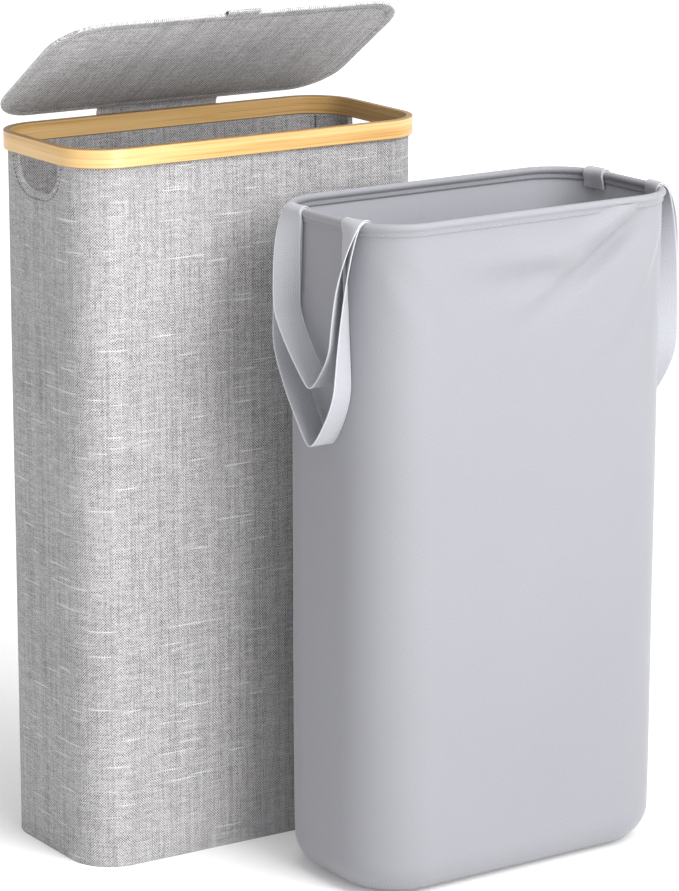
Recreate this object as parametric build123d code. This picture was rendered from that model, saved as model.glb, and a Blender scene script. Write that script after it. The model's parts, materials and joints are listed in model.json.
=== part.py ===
from build123d import *

import math
import os

# A slim free-standing laundry hamper with a bent bamboo rim and a flap-hinged lid, and the
# lift-out liner bag that stands in front of it. Millimetres, +Z up. The origin is the middle of
# the hamper's base, on the floor. X runs along the long side and +Y to the back.

# Hamper body
HEIGHT = 700.0
BODY_WIDTH = 380.0
BODY_DEPTH = 180.0
BODY_CORNER = 44.0
CLOTH = 0.9
BOARD = 2.0
BASE_BOARD = 3.0
GAP = 0.1

# Bamboo rim band, grooved beneath to take the upper edge of the outer cloth
BAND_HEIGHT = 18.0
BAND_THICK = 6.4
BAND_OVERHANG = 4.1
BAND_EDGE_ROUND = 0.9
GROOVE_DEPTH = 12.0

# Hand holes in the two short sides, right under the band
HOLE_WIDTH = 82.0
HOLE_DEPTH = 33.8
HOLE_CORNER = 31.0
BINDING = 0.8
BINDING_LIP = 5.0

# Lid, drawn closed and then turned up to its rest angle
LID_WIDTH = 384.0
LID_DEPTH = 188.0
LID_CORNER = 46.0
LID_CLEARANCE = 0.6
LID_BOARD = 2.2
LID_CLOTH = 0.7
LID_REST_ANGLE = 33.6
HINGE_Y = 102.2
HINGE_Z = HEIGHT + 0.9
TAB_WIDTH = 36.0
TAB_REACH = 9.0
TAB_CLOTH = 0.9
FLAP_WIDTH = 136.0
FLAP_THICK = 1.2
STRIP_HEIGHT = 25.0
STRIP_THICK = 1.6

# Liner bag, drawn about its own middle and then set down in front of the hamper
BAG_X = 156.5
BAG_Y = -226.0
BAG_TURN = 1.4
BAG_WIDTH = 353.0
BAG_DEPTH = 182.6
BAG_CORNER = 56.0
BAG_WALL = 1.6
BAG_BASE_ROUND = 33.0
PIPING_RADIUS = 3.7
HOOP_RADIUS = 1.6
PIPING_Z = 643.8

# Webbing loops: a short and a long one on each short side of the bag
WEBBING_WIDTH = 25.4
WEBBING_THICK = 1.1
BACK_STRAP_Y = 42.0
FRONT_STRAP_Y = -50.0
STRAP_TOP_Z = 636.5
STRAP_END_Z = 638.0
STRAP_INNER_END_Z = 622.0
LONG_LOOP_BOTTOM_Z = 431.0
SHORT_LOOP_BOTTOM_Z = 487.0
STRAP_NEST = 4.0
STRAP_CLEARANCE = 0.3
LAYER_GAP = 0.25
LOOP_STEPS = (0.0, 0.08, 0.2, 0.35, 0.5, 0.64, 0.76, 0.85, 0.91, 0.95, 0.975, 0.992)

BAND_LOW = HEIGHT - BAND_HEIGHT
PARTS = {}


def slab(width, depth, corner, low, high):
    """Rounded rectangle block between two heights."""
    outline = Pos(0, 0, low) * RectangleRounded(width, depth, corner)
    return extrude(outline, high - low)


def ring(width, depth, corner, wall, low, high):
    """Upright wall that follows a rounded rectangle."""
    outer = slab(width, depth, corner, low, high)
    inner = slab(width - 2 * wall, depth - 2 * wall, corner - wall, low, high)
    return outer - inner


def block(x_range, y_range, z_range):
    """Plain block between two opposite corners."""
    sizes = [high - low for low, high in (x_range, y_range, z_range)]
    middle = [(low + high) / 2 for low, high in (x_range, y_range, z_range)]
    return Pos(*middle) * Box(*sizes)


def body_ring(inset, wall, low, high):
    """Wall of the hamper body whose outer face lies inset from the outside of the cloth."""
    return ring(
        BODY_WIDTH - 2 * inset, BODY_DEPTH - 2 * inset, BODY_CORNER - inset, wall, low, high
    )


def hole_outline(grow):
    """Half-moon of a hand hole, seen from the short side and grown all round."""
    half = HOLE_WIDTH / 2 + grow
    low = BAND_LOW - HOLE_DEPTH - grow
    corner = HOLE_CORNER + grow
    tall = 2 * (HOLE_DEPTH + grow)
    whole = Pos(0, low + tall / 2) * RectangleRounded(2 * half, tall, min(corner, tall / 2 - 0.5))
    keep = Pos(0, low - 5 + (BAND_LOW - low + 5) / 2) * Rectangle(3 * half, BAND_LOW - low + 5)
    return whole & keep


def hole_block(side, near, far, grow=0.0):
    """Half-moon block through a short wall, between two distances from the middle."""
    low, high = sorted((side * near, side * far))
    return extrude(Plane.YZ.offset(low) * hole_outline(grow), high - low)


def cut_hand_holes(shape):
    """Both hand holes cut through a wall of the body."""
    for side in (-1, 1):
        shape = shape - hole_block(side, BODY_WIDTH / 2 - 20, BODY_WIDTH / 2 + 20)
    return shape


def make_band():
    """Bent bamboo band with rounded edges and the groove under it."""
    width = BODY_WIDTH + 2 * BAND_OVERHANG
    depth = BODY_DEPTH + 2 * BAND_OVERHANG
    band = ring(width, depth, BODY_CORNER + BAND_OVERHANG, BAND_THICK, BAND_LOW, HEIGHT)
    level = band.faces().filter_by(Axis.Z)
    band = fillet(level.edges(), BAND_EDGE_ROUND)
    groove = body_ring(-GAP, CLOTH + 2 * GAP, BAND_LOW - 1, BAND_LOW + GROOVE_DEPTH)
    return band - groove


def make_body():
    """Cloth, boards and base of the hamper."""
    board_inset = CLOTH + GAP
    lining_inset = board_inset + BOARD + GAP
    floor_inset = lining_inset + CLOTH + GAP
    base_top = CLOTH + GAP + BASE_BOARD

    PARTS["rim_band"] = make_band()
    outer = body_ring(0, CLOTH, CLOTH + GAP, BAND_LOW + GROOVE_DEPTH - GAP)
    PARTS["outer_cover"] = cut_hand_holes(outer)
    lining = body_ring(lining_inset, CLOTH, base_top + GAP, BAND_LOW - GAP)
    PARTS["inner_lining"] = cut_hand_holes(lining)
    PARTS["base_cover"] = slab(BODY_WIDTH, BODY_DEPTH, BODY_CORNER, 0, CLOTH)
    PARTS["base_board"] = slab(
        BODY_WIDTH - 2 * lining_inset,
        BODY_DEPTH - 2 * lining_inset,
        BODY_CORNER - lining_inset,
        CLOTH + GAP,
        base_top,
    )
    PARTS["floor_lining"] = slab(
        BODY_WIDTH - 2 * floor_inset,
        BODY_DEPTH - 2 * floor_inset,
        BODY_CORNER - floor_inset,
        base_top + GAP,
        base_top + GAP + CLOTH,
    )

    boards = body_ring(board_inset, BOARD, CLOTH + GAP, BAND_LOW - GAP)
    half_x = BODY_WIDTH / 2 - BODY_CORNER
    half_y = BODY_DEPTH / 2 - BODY_CORNER
    far = BODY_WIDTH
    tall = (0, HEIGHT)
    PARTS["front_board"] = boards & block((-half_x + GAP, half_x - GAP), (-far, 0), tall)
    PARTS["back_board"] = boards & block((-half_x + GAP, half_x - GAP), (0, far), tall)
    holed = cut_hand_holes(boards)
    PARTS["left_board"] = holed & block((-far, 0), (-half_y + GAP, half_y - GAP), tall)
    PARTS["right_board"] = holed & block((0, far), (-half_y + GAP, half_y - GAP), tall)
    for side, side_name in ((-1, "left"), (1, "right")):
        for end, end_name in ((-1, "front"), (1, "back")):
            x_range = sorted((side * (half_x + GAP), side * far))
            y_range = sorted((end * (half_y + GAP), end * far))
            PARTS[f"corner_board_{side_name}_{end_name}"] = boards & block(x_range, y_range, tall)

    outside = BODY_WIDTH / 2
    inside = outside - lining_inset - CLOTH
    for side, name in ((-1, "left"), (1, "right")):
        sleeve = hole_block(side, inside, outside)
        outer_lip = hole_block(side, outside, outside + BINDING, BINDING_LIP)
        inner_lip = hole_block(side, inside - BINDING, inside, BINDING_LIP)
        clear = hole_block(side, inside - 5, outside + 5, -BINDING)
        PARTS[f"hand_hole_binding_{name}"] = sleeve + outer_lip + inner_lip - clear


def strip_along_x(points, width):
    """Flat strip of one outline in the YZ plane, carried along X about the middle."""
    outline = make_face(Polyline(*points, close=True))
    return extrude(Plane.YZ.offset(-width / 2) * outline, width)


def make_flap():
    """Fixed end of the lid's cloth hinge, on the outside of the back wall."""
    wall_y = BODY_DEPTH / 2
    strip_low = BAND_LOW - 12 - STRIP_HEIGHT
    PARTS["fastening_strip"] = block(
        (-FLAP_WIDTH / 2 + 6, FLAP_WIDTH / 2 - 6),
        (wall_y + GAP, wall_y + GAP + STRIP_THICK),
        (strip_low, strip_low + STRIP_HEIGHT),
    )
    near = wall_y + STRIP_THICK + 2 * GAP
    slack = 5.6
    centre = [
        (near, strip_low - 3),
        (near, BAND_LOW - 8),
        (near + slack, BAND_LOW + 8),
        (HINGE_Y - 1.6, HINGE_Z - 1.7),
    ]
    outer = [(y + FLAP_THICK, z) for y, z in reversed(centre)]
    PARTS["flap_fixed_end"] = strip_along_x(centre + outer, FLAP_WIDTH)


def make_lid():
    """Board, two covers, pull tab and free end of the cloth hinge, turned to the rest angle."""
    low = HEIGHT + LID_CLEARANCE
    board_low = low + LID_CLOTH + GAP
    board_high = board_low + LID_BOARD
    top = board_high + GAP + LID_CLOTH
    back = LID_DEPTH / 2
    lid = {}
    lid["lid_underside"] = slab(LID_WIDTH, LID_DEPTH, LID_CORNER, low, low + LID_CLOTH)
    edge = LID_CLOTH + GAP
    lid["lid_board"] = slab(
        LID_WIDTH - 2 * edge, LID_DEPTH - 2 * edge, LID_CORNER - edge, board_low, board_high
    )
    skirt = ring(LID_WIDTH, LID_DEPTH, LID_CORNER, LID_CLOTH, low + LID_CLOTH + GAP, top)
    lid["lid_top_cover"] = skirt + slab(LID_WIDTH, LID_DEPTH, LID_CORNER, top - LID_CLOTH, top)

    tab_low = low + 0.4
    tab_high = tab_low + 3.0
    outline = block((-TAB_WIDTH / 2, TAB_WIDTH / 2), (-back - TAB_REACH, -back), (tab_low, tab_high))
    hollow = block(
        (-TAB_WIDTH / 2, TAB_WIDTH / 2),
        (-back - TAB_REACH + TAB_CLOTH, -back),
        (tab_low + TAB_CLOTH, tab_high - TAB_CLOTH),
    )
    lid["lid_pull_tab"] = outline - hollow
    flap_low = HINGE_Z - FLAP_THICK / 2
    lid["flap_lid_end"] = block(
        (-FLAP_WIDTH / 2, FLAP_WIDTH / 2),
        (back, HINGE_Y - 1.4),
        (flap_low, flap_low + FLAP_THICK),
    )
    hinge = Axis((0, HINGE_Y, HINGE_Z), (-1, 0, 0))
    for name, shape in lid.items():
        PARTS[name] = shape.rotate(hinge, LID_REST_ANGLE)


def place_bag(shape):
    """Carry a shape of the bag from its own middle to where the bag stands."""
    return Pos(BAG_X, BAG_Y, 0) * Rot(0, 0, BAG_TURN) * shape


def rim_path(z):
    """Centre line of the bag's rim, a rounded rectangle at one height."""
    return Pos(0, 0, z) * RectangleRounded(BAG_WIDTH - 0.5, BAG_DEPTH, BAG_CORNER - 2)


def rim_tube(outer_radius, inner_radius=0.0):
    """Round tube or rod that follows the bag's rim."""
    path = rim_path(PIPING_Z).wire()
    start = Plane(origin=path @ 0, z_dir=path % 0)
    section = start * Circle(outer_radius)
    if inner_radius:
        section = section - start * Circle(inner_radius)
    return sweep(section, path)


def make_bag():
    """Walls, base and stiffened rim of the liner bag."""
    top = PIPING_Z - PIPING_RADIUS - GAP
    walls = ring(BAG_WIDTH, BAG_DEPTH, BAG_CORNER, BAG_WALL, BAG_BASE_ROUND, top)
    PARTS["bag_walls"] = place_bag(walls)

    outer = slab(BAG_WIDTH, BAG_DEPTH, BAG_CORNER, 0, 2 * BAG_BASE_ROUND)
    outer = fillet(outer.faces().sort_by(Axis.Z)[0].edges(), BAG_BASE_ROUND - 1)
    inner = slab(
        BAG_WIDTH - 2 * BAG_WALL,
        BAG_DEPTH - 2 * BAG_WALL,
        BAG_CORNER - BAG_WALL,
        BAG_WALL,
        2 * BAG_BASE_ROUND + 5,
    )
    inner = fillet(inner.faces().sort_by(Axis.Z)[0].edges(), BAG_BASE_ROUND - 1 - BAG_WALL)
    half = BAG_WIDTH
    keep = block((-half, half), (-half, half), (-1, BAG_BASE_ROUND))
    PARTS["bag_base"] = place_bag((outer - inner) & keep)

    PARTS["bag_rim_piping"] = place_bag(rim_tube(PIPING_RADIUS, HOOP_RADIUS + GAP))
    PARTS["bag_rim_hoop"] = place_bag(rim_tube(HOOP_RADIUS))


def rim_point(y):
    """Distance of the rim's centre line from the bag's middle, and the turn of its normal."""
    radius = BAG_CORNER - 2
    straight = BAG_DEPTH / 2 - radius
    past = max(abs(y) - straight, 0.0)
    turn = math.asin(past / radius)
    reach = (BAG_WIDTH - 0.5) / 2 - radius * (1 - math.cos(turn))
    return reach, turn


def strap_end(side, y, layer):
    """Webbing laid along the rim: from inside the bag up over it, in one of two layers."""
    inner = PIPING_RADIUS + STRAP_CLEARANCE + layer * (WEBBING_THICK + LAYER_GAP)
    outer = inner + WEBBING_THICK
    saddle = Pos(0, PIPING_Z) * (Circle(outer) - Circle(inner))
    upper = Pos(0, PIPING_Z + outer) * Rectangle(3 * outer, 2 * outer)
    outer_leg = Pos((inner + outer) / 2, (PIPING_Z + STRAP_END_Z) / 2)
    outer_leg = outer_leg * Rectangle(WEBBING_THICK, PIPING_Z - STRAP_END_Z)
    inner_leg = Pos(-(inner + outer) / 2, (PIPING_Z + STRAP_INNER_END_Z) / 2)
    inner_leg = inner_leg * Rectangle(WEBBING_THICK, PIPING_Z - STRAP_INNER_END_Z)
    outline = (saddle & upper) + outer_leg + inner_leg

    # the webbing follows the rim's round corner, and its straight side where it reaches it
    radius = BAG_CORNER - 2
    straight = BAG_DEPTH / 2 - radius
    run = radius * math.asin((abs(y) - straight) / radius)
    start, end = run - WEBBING_WIDTH / 2, run + WEBBING_WIDTH / 2
    section = Plane.XZ * Pos(radius, 0) * outline
    first = max(start, 0.0)
    solid = revolve(section, Axis.Z, math.degrees((end - first) / radius))
    solid = Rot(0, 0, math.degrees(first / radius)) * solid
    if start < 0:
        solid = solid + extrude(section, -start)
    solid = Pos((BAG_WIDTH - 0.5) / 2 - radius, straight, 0) * solid
    if y < 0:
        solid = mirror(solid, Plane.XZ)
    return solid if side > 0 else mirror(solid, Plane.YZ)


def loop_section(fraction, strand, bottom_z, layer):
    """Centre and width direction of the webbing part of the way down a hanging loop."""
    y_top = BACK_STRAP_Y if strand > 0 else FRONT_STRAP_Y
    middle = (BACK_STRAP_Y + FRONT_STRAP_Y) / 2
    z = STRAP_TOP_Z + (bottom_z - STRAP_TOP_Z) * fraction
    reach, turn = rim_point(y_top)
    start_out = PIPING_RADIUS + STRAP_CLEARANCE + 0.5 * WEBBING_THICK
    hang_out = WEBBING_WIDTH / 2 + 3.5
    ease = min(fraction / 0.35, 1.0)
    ease = ease * ease * (3 - 2 * ease)
    twist = -turn + (math.pi / 2 + turn) * fraction**0.8
    nest = layer * (WEBBING_THICK + 3 * GAP + STRAP_NEST * ease)
    out = start_out + (hang_out - start_out) * ease + nest * math.cos(twist)
    half = y_top - middle - strand * nest * math.sin(twist)
    y = middle + half * max(1 - fraction**8, 0.0) ** 0.8
    return Vector(reach + out, y, z), Vector(math.sin(twist), strand * math.cos(twist), 0)


def strap_loop(side, bottom_z, layer):
    """One loop of webbing: down the back strand, round the bottom and up the front strand."""
    route = [loop_section(step, 1, bottom_z, layer) for step in LOOP_STEPS]
    route.append(loop_section(1.0, 1, bottom_z, layer))
    route += [loop_section(step, -1, bottom_z, layer) for step in reversed(LOOP_STEPS)]
    sections = []
    for i, (centre, across) in enumerate(route):
        before = route[max(i - 1, 0)][0]
        after = route[min(i + 1, len(route) - 1)][0]
        along = (after - before).normalized()
        across = (across - along * across.dot(along)).normalized()
        plane = Plane(origin=centre, x_dir=across, z_dir=along)
        sections.append(plane * Rectangle(WEBBING_WIDTH, WEBBING_THICK))
    solid = loft(sections, ruled=True)
    return solid if side > 0 else mirror(solid, Plane.YZ)


def make_straps():
    """Both loops on both short sides, and their ends over the rim."""
    kinds = (("long", LONG_LOOP_BOTTOM_Z, 0), ("short", SHORT_LOOP_BOTTOM_Z, 1))
    for side, name in ((-1, "left"), (1, "right")):
        for kind, bottom_z, layer in kinds:
            PARTS[f"{kind}_strap_{name}"] = place_bag(strap_loop(side, bottom_z, layer))
            ends = [strap_end(side, y, layer) for y in (BACK_STRAP_Y, FRONT_STRAP_Y)]
            PARTS[f"{kind}_strap_ends_{name}"] = place_bag(Compound(children=ends))


make_body()
make_flap()
make_lid()
make_bag()
make_straps()

os.makedirs("parts", exist_ok=True)
for node, shape in PARTS.items():
    export_step(shape, f"parts/{node}.step")
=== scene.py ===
import json
import math

import bmesh
import bpy
from mathutils import Matrix, Vector, noise


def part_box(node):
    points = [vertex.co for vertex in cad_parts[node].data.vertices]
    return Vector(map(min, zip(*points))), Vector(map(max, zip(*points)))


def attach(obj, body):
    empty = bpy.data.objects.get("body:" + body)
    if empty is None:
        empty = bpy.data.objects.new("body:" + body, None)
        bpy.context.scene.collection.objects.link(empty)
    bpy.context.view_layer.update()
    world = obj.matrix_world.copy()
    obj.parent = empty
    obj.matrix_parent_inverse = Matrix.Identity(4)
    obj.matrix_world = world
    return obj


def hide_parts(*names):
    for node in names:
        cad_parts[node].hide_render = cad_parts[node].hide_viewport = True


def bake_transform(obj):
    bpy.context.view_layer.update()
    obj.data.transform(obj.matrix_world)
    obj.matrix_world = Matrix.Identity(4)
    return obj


bl_info = {
    "name": "Bamboo Rim Laundry Hamper",
    "version": (1, 0, 0),
    "blender": (4, 5, 0),
    "location": "3D View > Sidebar > Hamper",
    "description": "Builds the cloth, bamboo, webbing and liner bag of a slim laundry hamper",
    "category": "Add Mesh",
}

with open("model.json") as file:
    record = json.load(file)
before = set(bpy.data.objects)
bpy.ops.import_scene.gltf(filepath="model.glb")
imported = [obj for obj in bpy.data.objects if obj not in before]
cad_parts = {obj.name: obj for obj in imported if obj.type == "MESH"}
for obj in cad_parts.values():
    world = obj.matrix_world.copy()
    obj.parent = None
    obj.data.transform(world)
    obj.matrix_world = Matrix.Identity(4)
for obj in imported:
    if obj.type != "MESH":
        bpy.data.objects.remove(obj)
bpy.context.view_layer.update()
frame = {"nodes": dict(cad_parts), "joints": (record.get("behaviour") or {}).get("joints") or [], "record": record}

MM = 0.001
JOINTS = {joint["name"]: joint for joint in frame["joints"]}
MOUNTS = {mount["name"]: mount for mount in frame["record"]["mounts"]}

# Hamper body, read from the frame, with the corner rounding of its boards
BODY_LOW, BODY_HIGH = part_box("base_cover")
BAND_LOW, BAND_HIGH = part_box("rim_band")
LINING_LOW, LINING_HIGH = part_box("inner_lining")
HALF_X = BODY_HIGH.x
HALF_Y = BODY_HIGH.y
CORNER = 44 * MM
LINING_CORNER = 41 * MM

LINEN_SLOT = "grey_linen_cloth"

# Hand holes: a half-moon under the band, with its bound edge and its row of stitches
HOLE_HALF = 41 * MM
HOLE_LOW = 648.2 * MM
HOLE_CORNER = 31 * MM
HOLE_STEPS = 10

# Lid, drawn closed and turned about its hinge
HINGE = Vector(JOINTS["lid_hinge"]["pos_m"])
LID_ANGLE = math.radians(-JOINTS["lid_hinge"]["range_deg"][0])
LID_TURN = Matrix.Translation(HINGE) @ Matrix.Rotation(LID_ANGLE, 4, Vector((-1, 0, 0)))
LID_TURN = LID_TURN @ Matrix.Translation(-HINGE)
LID_HALF_X = 192 * MM
LID_HALF_Y = 94 * MM
LID_CORNER = 46 * MM
LID_LOW = BAND_HIGH.z + 0.6 * MM
LID_THICK = 3.8 * MM
TAB_HALF = 18 * MM
TAB_REACH = 6 * MM

# Liner bag, drawn about its own middle and turned to where it stands
BAG_AXIS = Vector(JOINTS["straps_left_swing"]["axis"])
BAG_TURN = math.atan2(-BAG_AXIS.x, BAG_AXIS.y)
BAG_PLACE = Matrix.Translation(MOUNTS["bag_base"]["pos_m"]) @ Matrix.Rotation(BAG_TURN, 4, "Z")
RIM_Z = 643.8 * MM
RIM_TUBE = 3.7 * MM
RIM_SIZE = (352.5 * MM, 182.6 * MM, 54 * MM)
BAG_FOOT_SIZE = (355 * MM, 181 * MM, 64 * MM)
BAG_ROUND = 33 * MM

# Webbing loops: where they cross the rim, and each kind's lowest point and layer on the rim
BACK_STRAP_Y = 42 * MM
FRONT_STRAP_Y = -50 * MM
LOOP_BOTTOM_Y = -16 * MM
LOOPS = {"long": (431 * MM, 0), "short": (487 * MM, 1)}


def colours():
    return bpy.context.scene.hamper_colours


def sizes():
    return bpy.context.scene.hamper_sizes


# Shader expressions


class Sock:
    """One number in a material, so that a pattern reads as a formula."""

    def __init__(self, maker, socket):
        self.maker = maker
        self.socket = socket

    def __add__(self, other):
        return self.maker.math("ADD", self, other)

    __radd__ = __add__

    def __sub__(self, other):
        return self.maker.math("SUBTRACT", self, other)

    def __rsub__(self, other):
        return self.maker.math("SUBTRACT", other, self)

    def __mul__(self, other):
        return self.maker.math("MULTIPLY", self, other)

    __rmul__ = __mul__

    def __truediv__(self, other):
        return self.maker.math("DIVIDE", self, other)


class Maker:
    """A node material under construction."""

    def __init__(self, name):
        self.material = bpy.data.materials.new(name)
        self.material.use_nodes = True
        self.tree = self.material.node_tree
        self.tree.nodes.clear()

    def node(self, kind, settings=None, inputs=None):
        """Add one node, set it up, then give its sockets values or links."""
        made = self.tree.nodes.new(kind)
        for key, value in (settings or {}).items():
            if key == "stops":
                fill_ramp(made.color_ramp, value)
            else:
                setattr(made, key, value)
        for key, value in (inputs or {}).items():
            self.feed(made.inputs[key], value)
        return made

    def feed(self, socket, value):
        if isinstance(value, Sock):
            value = value.socket
        if isinstance(value, bpy.types.NodeSocket):
            self.tree.links.new(value, socket)
        else:
            socket.default_value = value

    def math(self, operation, *values):
        made = self.node("ShaderNodeMath", {"operation": operation}, dict(enumerate(values)))
        return Sock(self, made.outputs[0])

    def smooth(self, value, low, high):
        """0 below low, 1 above high, and a soft step between."""
        settings = {"interpolation_type": "SMOOTHSTEP"}
        inputs = {"Value": value, "From Min": low, "From Max": high}
        return Sock(self, self.node("ShaderNodeMapRange", settings, inputs).outputs[0])

    def uv(self):
        parts = self.node("ShaderNodeSeparateXYZ", None, {0: self.node("ShaderNodeUVMap").outputs[0]})
        return Sock(self, parts.outputs[0]), Sock(self, parts.outputs[1])

    def place(self):
        source = self.node("ShaderNodeTexCoord").outputs["Object"]
        parts = self.node("ShaderNodeSeparateXYZ", None, {0: source})
        return [Sock(self, parts.outputs[i]) for i in range(3)]

    def vector(self, x, y, z=0.0):
        made = self.node("ShaderNodeCombineXYZ", None, {0: x, 1: y, 2: z})
        return made.outputs[0]

    def noise(self, vector, scale=1.0, detail=2.0, rough=0.5):
        inputs = {"Vector": vector, "Scale": scale, "Detail": detail, "Roughness": rough}
        return Sock(self, self.node("ShaderNodeTexNoise", None, inputs).outputs[0])

    def random(self, vector):
        settings = {"noise_dimensions": "3D"}
        made = self.node("ShaderNodeTexWhiteNoise", settings, {"Vector": vector})
        return Sock(self, made.outputs["Value"])

    def ramp(self, value, stops):
        return self.node("ShaderNodeValToRGB", {"stops": stops}, {"Fac": value}).outputs[0]

    def mix(self, factor, first, second):
        """One colour laid over another; sockets 6, 7 and output 2 are the node's colours."""
        inputs = {0: factor, 6: first, 7: second}
        return self.node("ShaderNodeMix", {"data_type": "RGBA"}, inputs).outputs[2]

    def finish(self, colour, roughness, height=None, relief=0.0002, strength=0.6, **fixed):
        """Close the material with one surface shader and its relief."""
        inputs = {key.replace("_", " "): value for key, value in fixed.items()}
        inputs.update({"Base Color": colour, "Roughness": roughness})
        shader = self.node("ShaderNodeBsdfPrincipled", None, inputs)
        if height is not None:
            inputs = {"Height": height, "Strength": strength, "Distance": relief}
            bump = self.node("ShaderNodeBump", None, inputs)
            self.feed(shader.inputs["Normal"], bump.outputs[0])
        self.node("ShaderNodeOutputMaterial", None, {"Surface": shader.outputs[0]})
        return self.material


def fill_ramp(ramp, stops):
    """Give a colour ramp its stops, each a place and a colour."""
    while len(ramp.elements) < len(stops):
        ramp.elements.new(0.5)
    for element, (place, colour) in zip(ramp.elements, stops):
        element.position = place
        element.color = (*colour, 1.0)


def waves(maker, value, length):
    """Even ribs across a cloth, from -1 to 1."""
    return maker.math("SINE", value * (2 * math.pi / length))


# Materials


def linen(name, dark, light, spacing=1.0, slub=1.0, clouds=0.10):
    """Coarse heather cloth: pale upright threads over darker level ones, with thick pale slubs."""
    m = Maker(name)
    pitch = sizes().weave * spacing
    u, v = m.uv()
    a = u / pitch
    b = v / pitch
    column = m.math("FLOOR", a)
    row = m.math("FLOOR", b)
    across = m.math("FRACT", a) * 2.0 - 1.0
    along = m.math("FRACT", b) * 2.0 - 1.0
    warp_round = 1.0 - across * across
    weft_round = 1.0 - along * along
    over = m.math("FRACT", (column + row) * 0.5) * 2.0
    # slow changes of tone along each thread, and each thread's own tone
    warp_slow = m.noise(m.vector(column * 3.7, v * 34.0), detail=3.0)
    weft_slow = m.noise(m.vector(u * 48.0, row * 3.7, 5.0), detail=3.0)
    warp_tone = warp_slow + m.random(m.vector(column, 0.5)) * 0.34 + 0.14
    weft_tone = weft_slow * 1.1 + m.random(m.vector(column, row)) * 0.3 - 0.50
    # slubs: short stretches of thick pale thread
    level = m.noise(m.vector(u * 15.0, row * 7.3, 11.0), detail=1.0)
    level = m.smooth(level, 0.655, 0.735) * slub
    upright = m.noise(m.vector(column * 7.3, v * 10.0, 17.0), detail=1.0)
    upright = m.smooth(upright, 0.58, 0.70) * slub
    weft_tone = weft_tone + level * 0.6
    warp_tone = warp_tone + upright * 0.5 + level * 0.15
    height = over * (warp_round * (weft_round * 0.4 + 0.6))
    height = height + (1.0 - over) * (weft_round * (warp_round * 0.4 + 0.6))
    tone = over * warp_tone + (1.0 - over) * weft_tone
    cloudy = m.noise(m.vector(u * 11.0, v * 7.0, 3.0), detail=2.0) - 0.5
    grainy = m.noise(m.vector(u * 500.0, v * 500.0, 6.0), detail=1.0) - 0.5
    # each thread darkens towards its edges and where it dips under the next: painted shade in the weave's hollows,
    # on top of the bump
    shade = (tone + grainy * 0.5) * (height * 0.35 + 0.72) + cloudy * clouds * 2.0
    tones = ((0.0, dark), (0.42, (dark + light) / 2), (0.95, light))
    colour = m.ramp(shade, [(stop, (tone, tone * 0.985, tone)) for stop, tone in tones])
    relief = height + level * 0.6 + upright * 0.4
    return m.finish(colour, 0.9, relief, 0.35 * MM, 0.5, Specular_IOR_Level=0.2, Sheen_Weight=0.1)


def bamboo(name):
    """Lacquered bamboo strip: long fibres round the band, darker brown along its top and bottom edges."""
    m = Maker(name)
    x, y, z = m.place()
    broad = m.noise(m.vector(x * 2.5, y * 2.5, z * 230.0), detail=3.0)
    fine = m.noise(m.vector(x * 16.0, y * 16.0, z * 1500.0), detail=4.0, rough=0.6)
    patch = m.noise(m.vector(x * 9.0, y * 9.0, z * 25.0), detail=1.0)
    tone = broad * 0.62 + fine * 0.24 + patch * 0.14
    amber = (0.52, 0.27, 0.075)
    honey = (0.66, 0.395, 0.135)
    pale = (0.76, 0.49, 0.20)
    straw = (0.82, 0.58, 0.28)
    colour = m.ramp(tone, [(0.33, amber), (0.45, honey), (0.56, pale), (0.72, straw)])
    top = m.smooth(z, BAND_HIGH.z - 1.3 * MM, BAND_HIGH.z - 0.3 * MM)
    foot = m.smooth(z, BAND_LOW.z + 1.0 * MM, BAND_LOW.z + 0.2 * MM)
    edge = m.math("MAXIMUM", top, foot)
    colour = m.mix(edge * 0.8, colour, (0.20, 0.10, 0.03, 1.0))
    lines = m.noise(m.vector(x * 5.0, y * 5.0, z * 620.0), detail=2.0)
    colour = m.mix(m.smooth(lines, 0.60, 0.70) * 0.45, colour, (0.36, 0.19, 0.06, 1.0))
    rough = fine * 0.18 + 0.30
    return m.finish(colour, rough, tone, 0.12 * MM, 0.3, Coat_Weight=0.35, Coat_Roughness=0.18)


def liner_cloth(name, colour):
    """Smooth polyester with a fine twill that only shows close to."""
    m = Maker(name)
    u, v = m.uv()
    weave = waves(m, u + v, 2.5 * MM) * 0.35 + waves(m, u * 0.6 - v, 1.9 * MM) * 0.25 + 0.5
    fuzz = m.noise(m.vector(u * 600.0, v * 600.0), detail=2.0)
    cloudy = m.noise(m.vector(u * 6.0, v * 5.0, 1.0), detail=2.0)
    tone = weave * 0.5 + fuzz * 0.35 + cloudy * 0.15
    darker = tuple(part * 0.80 for part in colour)
    lighter = tuple(min(part * 1.16, 1.0) for part in colour)
    paint = m.ramp(tone, [(0.15, darker), (0.85, lighter)])
    sheen = {"Specular_IOR_Level": 0.35, "Sheen_Weight": 0.25, "Sheen_Roughness": 0.4}
    return m.finish(paint, 0.62 - weave * 0.08, weave, 0.12 * MM, 0.30, **sheen)


def webbing(name, colour):
    """Flat woven tape: chevron twill, lighter towards both edges."""
    m = Maker(name)
    u, v = m.uv()
    middle = m.math("ABSOLUTE", u)
    weave = waves(m, middle + v, 2.6 * MM) * 0.3 + waves(m, u, 1.6 * MM) * 0.2 + 0.5
    fuzz = m.noise(m.vector(u * 900.0, v * 500.0), detail=2.0)
    selvedge = m.smooth(middle, sizes().web_width * 0.44, sizes().web_width * 0.485)
    darker = tuple(part * 0.74 for part in colour)
    lighter = tuple(part * 1.16 for part in colour)
    paint = m.ramp(weave * 0.55 + fuzz * 0.45, [(0.2, darker), (0.8, lighter)])
    paint = m.mix(selvedge * 0.6, paint, (0.60, 0.61, 0.64, 1.0))
    return m.finish(paint, 0.68, weave, 0.22 * MM, 0.45, Specular_IOR_Level=0.3, Sheen_Weight=0.2)


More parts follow.
